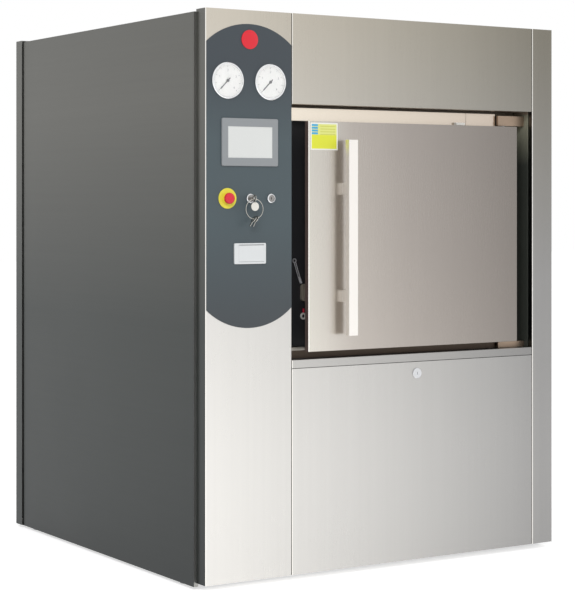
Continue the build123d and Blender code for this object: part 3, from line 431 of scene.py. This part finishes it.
def painted_bend_highlights(finish, colour, side):
    """Colour with painted highlights on the bends towards the left and another colour on the faces that look left.
    """
    left = 0.0 - facing(finish, "X")
    # Bends that turn towards the left get the painted highlight.
    folded = finish.mix(finish.between(left, 0.1, 0.4), colour, tuple(colours().bend))
    return finish.mix(finish.between(left, 0.95, 0.99), folded, side)


def facade_painted_reflection(shade):
    """Painted reflection: bright at the facade's left and bottom, dull towards its right and top."""

    def build(finish):
        tints = colours()
        across = finish.between(finish.axis("X"), -0.72, 0.69)
        up = finish.between(finish.axis("Z"), 1.0, 1.9)
        low = finish.mix(across, tuple(tints.facade_reflection_light), tuple(tints.facade_reflection_grey))
        high = finish.mix(across, tuple(tints.facade_reflection_warm), tuple(tints.facade_reflection_dull))
        # A shade below 1 makes a darker copy of the finish as painted shade.
        colour = finish.tint(finish.mix(up, low, high), shade)
        return painted_bend_highlights(finish, colour, side_painted_reflection(finish))

    return build


class AUTOCLAVE_OT_housing(bpy.types.Operator):
    """Finishes the sheets of the housing, its frame and its feet"""

    bl_idname = "autoclave.housing"
    bl_label = "Housing"

    def execute(self, context):
        upright = (1, 1, 0.012)
        facade = steel("facade_steel", facade_painted_reflection(1.0), upright, 0.3)
        wear(facade, "control_column", "right_column", "header_panel", "service_panel")
        # The ledge is the facade finish darkened to 0.82 as painted shade.
        wear(steel("ledge_steel_painted_shade", facade_painted_reflection(0.82), (0.012, 1, 1), 0.3), "ledge_strip")
        side = steel("side_steel", side_painted_reflection, (1, 0.012, 1), 0.34, 0.09, 0.1)
        wear(side, "left_side_panel", "right_side_panel", "rear_panel", "top_panel")
        wear(paint("frame_paint", linear(92, 94, 96)), "side_rails", "cross_rails", "corner_posts",
             "stand_legs", "stand_beams")
        wear(steel("foot_steel", linear(168, 168, 170), upright, 0.35), "levelling_feet")
        wear(steel("lock_chrome", linear(205, 206, 208), upright, 0.16, 0.02), "service_lock")
        return {"FINISHED"}


def recess_paint_and_painted_light(finish):
    """Dark paint, lighter right of the door as painted reflection, with a pale patch of painted light at the top of
    the right-hand gap and painted light over the bar.
    """
    tints = colours()
    # Right of the door the paint turns to a lighter olive tone as painted reflection.
    right = finish.between(finish.axis("X"), 0.4, 0.6)
    base = finish.mix(right, tuple(tints.recess), tuple(tints.recess_right_reflection))
    # Painted light: a pale patch at the top of the right-hand gap.
    painted_lit_patch = right * finish.between(finish.axis("Z"), 1.42, 1.56)
    base = finish.mix(painted_lit_patch, base, linear(150, 150, 132))
    # Over the bar: a steel tone made lighter as painted light.
    over = finish.axis("Z") > LINTEL_HIGH.z
    return finish.mix(over, base, tuple(tints.recess_top_steel_and_painted_light))


def bar_painted_reflection(finish):
    """Painted reflection: bright at the left end of the bar, duller towards the hinge, with painted highlights on
    its bends.
    """
    tints = colours()
    across = finish.between(finish.axis("X"), LINTEL_LOW.x, LINTEL_HIGH.x)
    base = finish.mix(across, tuple(tints.polished), tuple(tints.bar_reflection_dull))
    return painted_bend_highlights(finish, base, tuple(tints.bend))


def lug_colour(finish):
    """Pale eye with a red sleeve over it."""
    sleeve = finish.axis("Z") > LUG_SPLIT
    return finish.mix(sleeve, linear(232, 230, 224), linear(206, 30, 60))


class AUTOCLAVE_OT_recess(bpy.types.Operator):
    """Finishes the recess, its bars, brackets and fittings, and the chamber"""

    bl_idname = "autoclave.recess"
    bl_label = "Recess and chamber"

    def execute(self, context):
        tints = colours()
        level = (0.012, 1, 1)
        wear(paint("recess_paint", recess_paint_and_painted_light, 0.5), "recess_lining", "recess_back")
        wear(steel("sill_steel", linear(84, 74, 66), level, 0.45, 0.1, 0.2), "sill_bar")
        wear(steel("polished_bar", bar_painted_reflection, level, 0.25, 0.03), "lintel_bar")
        wear(paint("striker_white", linear(255, 252, 246), 0.3), "striker_block")
        # The brown of the brackets and arms is a painted reflection on the steel.
        wear(steel("bracket_steel", tuple(tints.bracket), level, 0.42, 0.1), "hinge_brackets", "door_arms")
        wear(steel("step_steel", linear(176, 170, 162), level, 0.4, 0.08, 0.1), "sill_step")
        wear(steel("link_steel", linear(176, 166, 152), level, 0.4, 0.1, 0.1, 0.25), "latch_link")
        wear(steel("machined_steel", linear(180, 180, 178), level, 0.28, 0.06), "chamber_flange",
             "door_plate", "pivot_pins")
        wear(steel("chamber_steel", linear(196, 195, 192), (1, 0.012, 1), 0.32), "chamber_shell",
             "chamber_end", "chamber_rails", "drain_strainer")
        wear(paint("gasket_rubber", linear(158, 74, 60), 0.62, 0.12), "door_gasket")
        wear(steel("spring_steel", linear(196, 196, 200), level, 0.3, 0.1, 0.1, 0.3), "latch_spring")
        wear(paint("lug_finish", lug_colour, 0.4), "cable_lug")
        return {"FINISHED"}


def door_painted_reflection(finish):
    """Painted reflection: brightest at the free edge, dull at the hinge side, with brown folds, and a painted
    highlight along the free edge.
    """
    tints = colours()
    light, dull, painted_fold_reflection = tuple(tints.door_reflection_light), tuple(tints.door_reflection_dull), tuple(tints.door_fold_reflection)
    stops = [(0.0, light), (0.07, linear(204, 199, 191)), (0.2, linear(185, 178, 171)),
             (0.45, linear(168, 161, 155)), (1.0, dull)]
    base = finish.ramp(finish.between(finish.axis("X"), DOOR_LOW.x, DOOR_HIGH.x), stops)
    up = finish.between(finish.axis("Z"), DOOR_LOW.z, DOOR_HIGH.z)
    # Darker towards the top as painted shade.
    base = finish.tint(base, 1.04 - up * 0.08)
    # A thin strip along the free edge gets the painted highlight colour.
    edge = finish.axis("X") < DOOR_LOW.x + 0.0035
    return painted_bend_highlights(finish, finish.mix(edge, base, tuple(tints.bend)), painted_fold_reflection)


def door_metal(finish):
    """Bare metal on the front; metallic lowered on the folds so their painted reflection tone shows as flat brown.
    """
    return 1.0 - finish.between(0.0 - facing(finish, "X"), 0.95, 0.99) * 0.8


class AUTOCLAVE_OT_door(bpy.types.Operator):
    """Finishes the door's cover, ribs and handle"""

    bl_idname = "autoclave.door"
    bl_label = "Door"

    def execute(self, context):
        tints = colours()
        upright = (1, 1, 0.012)
        wear(steel("door_steel", door_painted_reflection, upright, 0.26, 0.03, 0.03, door_metal), "door_cover")
        wear(steel("rib_steel", linear(170, 169, 166), upright, 0.4, 0.1), "door_ribs")
        wear(steel("handle_metal", tuple(tints.handle), upright, 0.5, 0.02), "handle_bar",
             "handle_standoffs")
        return {"FINISHED"}


def panel_paint_and_painted_shade(finish):
    """Sprayed panel with painted shade: darkest at its top and bottom."""
    tints = colours()
    dark, light = tuple(tints.panel_top_shade), tuple(tints.panel)
    stops = [(0.0, linear(66, 71, 75)), (0.35, light), (0.62, light), (0.85, dark), (1.0, dark)]
    return finish.ramp(finish.between(finish.axis("Z"), PANEL_LOW.z, PANEL_HIGH.z), stops)


def switch_colour(finish):
    """Bright rings with a dull barrel inside."""
    low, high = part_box("key_switches")
    z = (low.z + high.z) / 2
    radius = (high.z - low.z) / 2
    dull = None
    for x in (low.x + radius, high.x - radius):
        across = finish.math("POWER", finish.axis("X") - x, 2.0)
        up = finish.math("POWER", finish.axis("Z") - z, 2.0)
        barrel = (across + up) < (radius * 0.77) ** 2
        dull = barrel if dull is None else dull + barrel
    return finish.mix(dull, linear(226, 227, 229), linear(150, 148, 146))


class AUTOCLAVE_OT_controls(bpy.types.Operator):
    """Finishes the control panel and the devices on it"""

    bl_idname = "autoclave.controls"
    bl_label = "Controls"

    def execute(self, context):
        tints = colours()
        level = (0.012, 1, 1)
        wear(paint("panel_paint", panel_paint_and_painted_shade, 0.5), "control_panel")
        wear(steel("gauge_chrome", linear(236, 237, 238), level, 0.2, 0.01), "gauge_cases")
        wear(paint("dial_white", tuple(tints.dial), 0.5, 0.02), "gauge_dials")
        wear(paint("needle_black", linear(96, 97, 100), 0.5), "gauge_needles")
        wear(glass("gauge_glass"), "gauge_glasses")
        wear(paint("bezel_grey", tuple(tints.bezel), 0.4), "screen_bezel")
        wear(paint("display_glow", tuple(tints.display), 0.22), "screen_display")
        wear(paint("stop_yellow", tuple(tints.yellow), 0.4), "stop_collar")
        wear(paint("stop_red", tuple(tints.red), 0.28), "stop_button")
        wear(steel("switch_chrome", switch_colour, level, 0.2, 0.02), "key_switches")
        wear(steel("key_steel", linear(188, 186, 180), level, 0.25), "keys", "key_ring")
        wear(paint("tag_white", linear(238, 236, 228), 0.5), "key_tag")
        wear(paint("printer_white", tuple(tints.printer), 0.35), "printer_frame", "printer_case",
             "printer_cover")
        wear(paint("paper_white", linear(244, 243, 238), 0.8, 0.3), "paper_roll")
        return {"FINISHED"}


def glass(name):
    """Clear pane with faint uneven gloss."""
    finish = Finish(name, IOR=1.45, Transmission_Weight=1.0)
    cloud = finish.noise(30.0)
    finish.surface(
        Base_Color=finish.tint((1.0, 1.0, 1.0), 0.98 + cloud * 0.02),
        Roughness=0.01 + cloud * 0.02,
    )
    return finish.material


# Small pieces


def inside(finish, axis, low, high):
    """1 between two places along an axis, 0 outside them."""
    value = finish.axis(axis)
    return (value > low) * (value < high)


def sticker_colour(low, high):
    """Plain field with a pale border, four blocks and a few pale stripes."""

    def build(finish):
        tints = colours()
        width = high.x - low.x
        height = high.z - low.z
        border = 0.0045
        field = inside(finish, "X", low.x + border, high.x - border)
        field = field * inside(finish, "Z", low.z + border, high.z - border)
        split = low.z + height * 0.55
        upper = inside(finish, "Z", split, high.z - border)
        colour = finish.mix(field, linear(248, 248, 240), tuple(tints.sticker))
        colour = finish.mix(upper * field, colour, linear(232, 236, 140))
        left = inside(finish, "X", low.x + border, low.x + width * 0.27)
        rows = 4
        pitch = (high.z - border - split) / rows
        for row in range(rows):
            base = split + row * pitch
            block = left * inside(finish, "Z", base + pitch * 0.22, base + pitch * 0.95)
            colour = finish.mix(block, colour, tuple(tints.sticker_block))
            stripe = inside(finish, "X", low.x + width * 0.36, high.x - border * 2)
            stripe = stripe * inside(finish, "Z", base + pitch * 0.1, base + pitch * 0.32)
            colour = finish.mix(stripe, colour, linear(206, 208, 84))
        return colour

    return build


class AUTOCLAVE_OT_sticker(bpy.types.Operator):
    """Adds the plain sticker at the door's upper free corner"""

    bl_idname = "autoclave.sticker"
    bl_label = "Sticker"

    def execute(self, context):
        size = sizes()
        x0 = DOOR_LOW.x + size.sticker_inset
        z1 = DOOR_HIGH.z - size.sticker_drop
        low = Vector((x0, DOOR_LOW.y - 0.0004, z1 - size.sticker_height))
        high = Vector((x0 + size.sticker_width, DOOR_LOW.y, z1))
        piece = add_block("door_sticker", low, high)
        bevel(piece, 0.00015, 1)
        fit(piece, "door", paint("sticker_print", sticker_colour(low, high), 0.35, 0.02))
        return {"FINISHED"}


class AUTOCLAVE_OT_badge(bpy.types.Operator):
    """Adds the plain domed badge at the top of the control panel"""

    bl_idname = "autoclave.badge"
    bl_label = "Badge"

    def execute(self, context):
        size = sizes()
        x = (PANEL_LOW.x + PANEL_HIGH.x) / 2
        z = PANEL_HIGH.z - 0.052
        piece = add_rod(
            "panel_badge", (x, PANEL_Y, z), (x, PANEL_Y - 0.0025, z), size.badge_radius, 64
        )
        inset_front(piece, 0.003, 0.0)
        inset_front(piece, 0.012, 0.0006)
        bevel(piece, 0.0006, 3)
        smooth(piece)
        fit(piece, "cabinet", paint("badge_red", tuple(colours().badge), 0.25, 0.02))
        return {"FINISHED"}


def gauge_places():
    """Centre of each dial and its radius."""
    low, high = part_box("gauge_dials")
    radius = (high.z - low.z) / 2
    z = (low.z + high.z) / 2
    return [(low.x + radius, low.y, z), (high.x - radius, low.y, z)], radius


class AUTOCLAVE_OT_dial_marks(bpy.types.Operator):
    """Adds the scale marks and numbers of both gauges"""

    bl_idname = "autoclave.dial_marks"
    bl_label = "Dial marks"

    def execute(self, context):
        centres, radius = gauge_places()
        ink = paint("dial_ink", linear(158, 160, 163), 0.5)
        step = 270 / 40
        for side, (x, y, z) in zip(("left", "right"), centres):
            marks = []
            for index in range(41):
                major = index % 5 == 0
                outer = radius * 0.93
                inner = radius * (0.8 if major else 0.87)
                half = 0.0006 if major else 0.0003
                marks.append(self.mark(x, y, z, 225 - index * step, inner, outer, half))
            for index in range(0, 41, 10):
                marks.append(self.number(str(index // 10), x, y, z, 225 - index * step, radius * 0.62))
            fit(join("dial_marks_" + side, marks), "cabinet", ink)
        return {"FINISHED"}

    @staticmethod
    def mark(x, y, z, angle, inner, outer, half):
        piece = add_block("mark", (inner, -0.0002, -half), (outer, 0.0, half))
        turn = Matrix.Rotation(-math.radians(angle), 4, "Y")
        piece.data.transform(Matrix.Translation((x, y, z)) @ turn)
        return piece

    @staticmethod
    def number(text, x, y, z, angle, reach):
        px = x + reach * math.cos(math.radians(angle))
        pz = z + reach * math.sin(math.radians(angle))
        deselect_all()
        bpy.ops.object.text_add(location=(px, y, pz), rotation=(math.pi / 2, 0, 0))
        words = bpy.context.object
        words.data.body = text
        words.data.size = 0.011
        words.data.extrude = 0.0001
        words.data.align_x = "CENTER"
        words.data.align_y = "CENTER"
        bpy.ops.object.convert(target="MESH")
        bpy.ops.object.transform_apply(location=True, rotation=True, scale=True)
        return bpy.context.object


class AUTOCLAVE_OT_stage(bpy.types.Operator):
    """Sets the floor, the lights, the world and the camera"""

    bl_idname = "autoclave.stage"
    bl_label = "Studio"

    def execute(self, context):
        self.floor()
        self.world(context.scene)
        self.lamps(context.scene)
        self.camera(context.scene)
        context.scene.view_settings.view_transform = "Standard"
        return {"FINISHED"}

    @staticmethod
    def floor():
        deselect_all()
        bpy.ops.mesh.primitive_plane_add(size=60.0)
        piece = piece_of("studio_floor")
        finish = Finish("studio_floor", Emission_Strength=1.0)
        cloud = finish.noise(0.8)
        seen = finish.node("LightPath", {}, {}, "Is Camera Ray")
        for ray in ("Is Glossy Ray", "Is Transmission Ray"):
            seen = seen + finish.node("LightPath", {}, {}, ray)
        finish.surface(
            Base_Color=finish.tint(tuple(colours().floor), 0.995 + (cloud - 0.5) * 0.01),
            Roughness=0.9 + (cloud - 0.5) * 0.05,
            Emission_Color=finish.tint((1.0, 1.0, 1.0), seen * 0.62),
        )
        piece.data.materials.append(finish.material)

    @staticmethod
    def world(scene):
        world = bpy.data.worlds.new("studio")
        world.use_nodes = True
        scene.world = world
        tree = world.node_tree
        tree.nodes.clear()
        seen = tree.nodes.new("ShaderNodeBackground")
        seen.inputs["Strength"].default_value = 1.0
        seen.inputs["Color"].default_value = (1, 1, 1, 1)
        soft = tree.nodes.new("ShaderNodeBackground")
        soft.inputs["Strength"].default_value = 0.5
        soft.inputs["Color"].default_value = (1, 1, 1, 1)
        path = tree.nodes.new("ShaderNodeLightPath")
        first = tree.nodes.new("ShaderNodeMath")
        first.operation = "ADD"
        tree.links.new(path.outputs["Is Camera Ray"], first.inputs[0])
        tree.links.new(path.outputs["Is Glossy Ray"], first.inputs[1])
        both = tree.nodes.new("ShaderNodeMath")
        both.operation = "ADD"
        both.use_clamp = True
        tree.links.new(first.outputs[0], both.inputs[0])
        tree.links.new(path.outputs["Is Transmission Ray"], both.inputs[1])
        mix = tree.nodes.new("ShaderNodeMixShader")
        tree.links.new(both.outputs[0], mix.inputs[0])
        tree.links.new(soft.outputs[0], mix.inputs[1])
        tree.links.new(seen.outputs[0], mix.inputs[2])
        out = tree.nodes.new("ShaderNodeOutputWorld")
        tree.links.new(mix.outputs[0], out.inputs["Surface"])

    @staticmethod
    def lamps(scene):
        for name, place, size, energy in (
            ("key", (-3.2, -4.6, 4.2), 2.6, 120.0),
            ("fill", (3.6, -4.2, 2.6), 3.0, 44.0),
        ):
            lamp = bpy.data.lights.new(name, "AREA")
            lamp.size = size
            lamp.energy = energy
            lamp_object = bpy.data.objects.new(name, lamp)
            lamp_object.location = place
            aim = Vector((0, 0, 1.0)) - Vector(place)
            lamp_object.rotation_euler = aim.to_track_quat("-Z", "Y").to_euler()
            lamp_object.visible_glossy = False
            scene.collection.objects.link(lamp_object)

    @staticmethod
    def camera(scene):
        camera = bpy.data.cameras.new("camera")
        camera.sensor_width = 36.0
        camera.lens = 108.86
        camera.shift_y = -0.1636
        camera.clip_end = 200.0
        eye = bpy.data.objects.new("camera", camera)
        eye.location = (-3.700, -5.885, 1.284)
        eye.rotation_euler = (math.pi / 2, 0.0, math.radians(-32.368))
        scene.collection.objects.link(eye)
        scene.camera = eye


OPERATORS = (
    AUTOCLAVE_OT_housing,
    AUTOCLAVE_OT_recess,
    AUTOCLAVE_OT_door,
    AUTOCLAVE_OT_controls,
    AUTOCLAVE_OT_sticker,
    AUTOCLAVE_OT_badge,
    AUTOCLAVE_OT_dial_marks,
    AUTOCLAVE_OT_stage,
)


class AUTOCLAVE_PT_panel(bpy.types.Panel):
    """Steps and values of the autoclave"""

    bl_idname = "AUTOCLAVE_PT_panel"
    bl_label = "Cabinet autoclave"
    bl_space_type = "VIEW_3D"
    bl_region_type = "UI"
    bl_category = "Autoclave"

    def draw(self, context):
        layout = self.layout
        for operator in OPERATORS:
            layout.operator(operator.bl_idname)
        for group in (context.scene.autoclave_sizes, context.scene.autoclave_colours):
            for name in group.__annotations__:
                layout.prop(group, name)


CLASSES = (AutoclaveColours, AutoclaveSizes, *OPERATORS, AUTOCLAVE_PT_panel)


def register():
    for cls in CLASSES:
        bpy.utils.register_class(cls)
    bpy.types.Scene.autoclave_colours = PointerProperty(type=AutoclaveColours)
    bpy.types.Scene.autoclave_sizes = PointerProperty(type=AutoclaveSizes)


def unregister():
    del bpy.types.Scene.autoclave_sizes
    del bpy.types.Scene.autoclave_colours
    for cls in reversed(CLASSES):
        bpy.utils.unregister_class(cls)


def main():
    register()
    for operator in OPERATORS:
        group, name = operator.bl_idname.split(".")
        getattr(getattr(bpy.ops, group), name)()


if __name__ == "__main__":
    main()
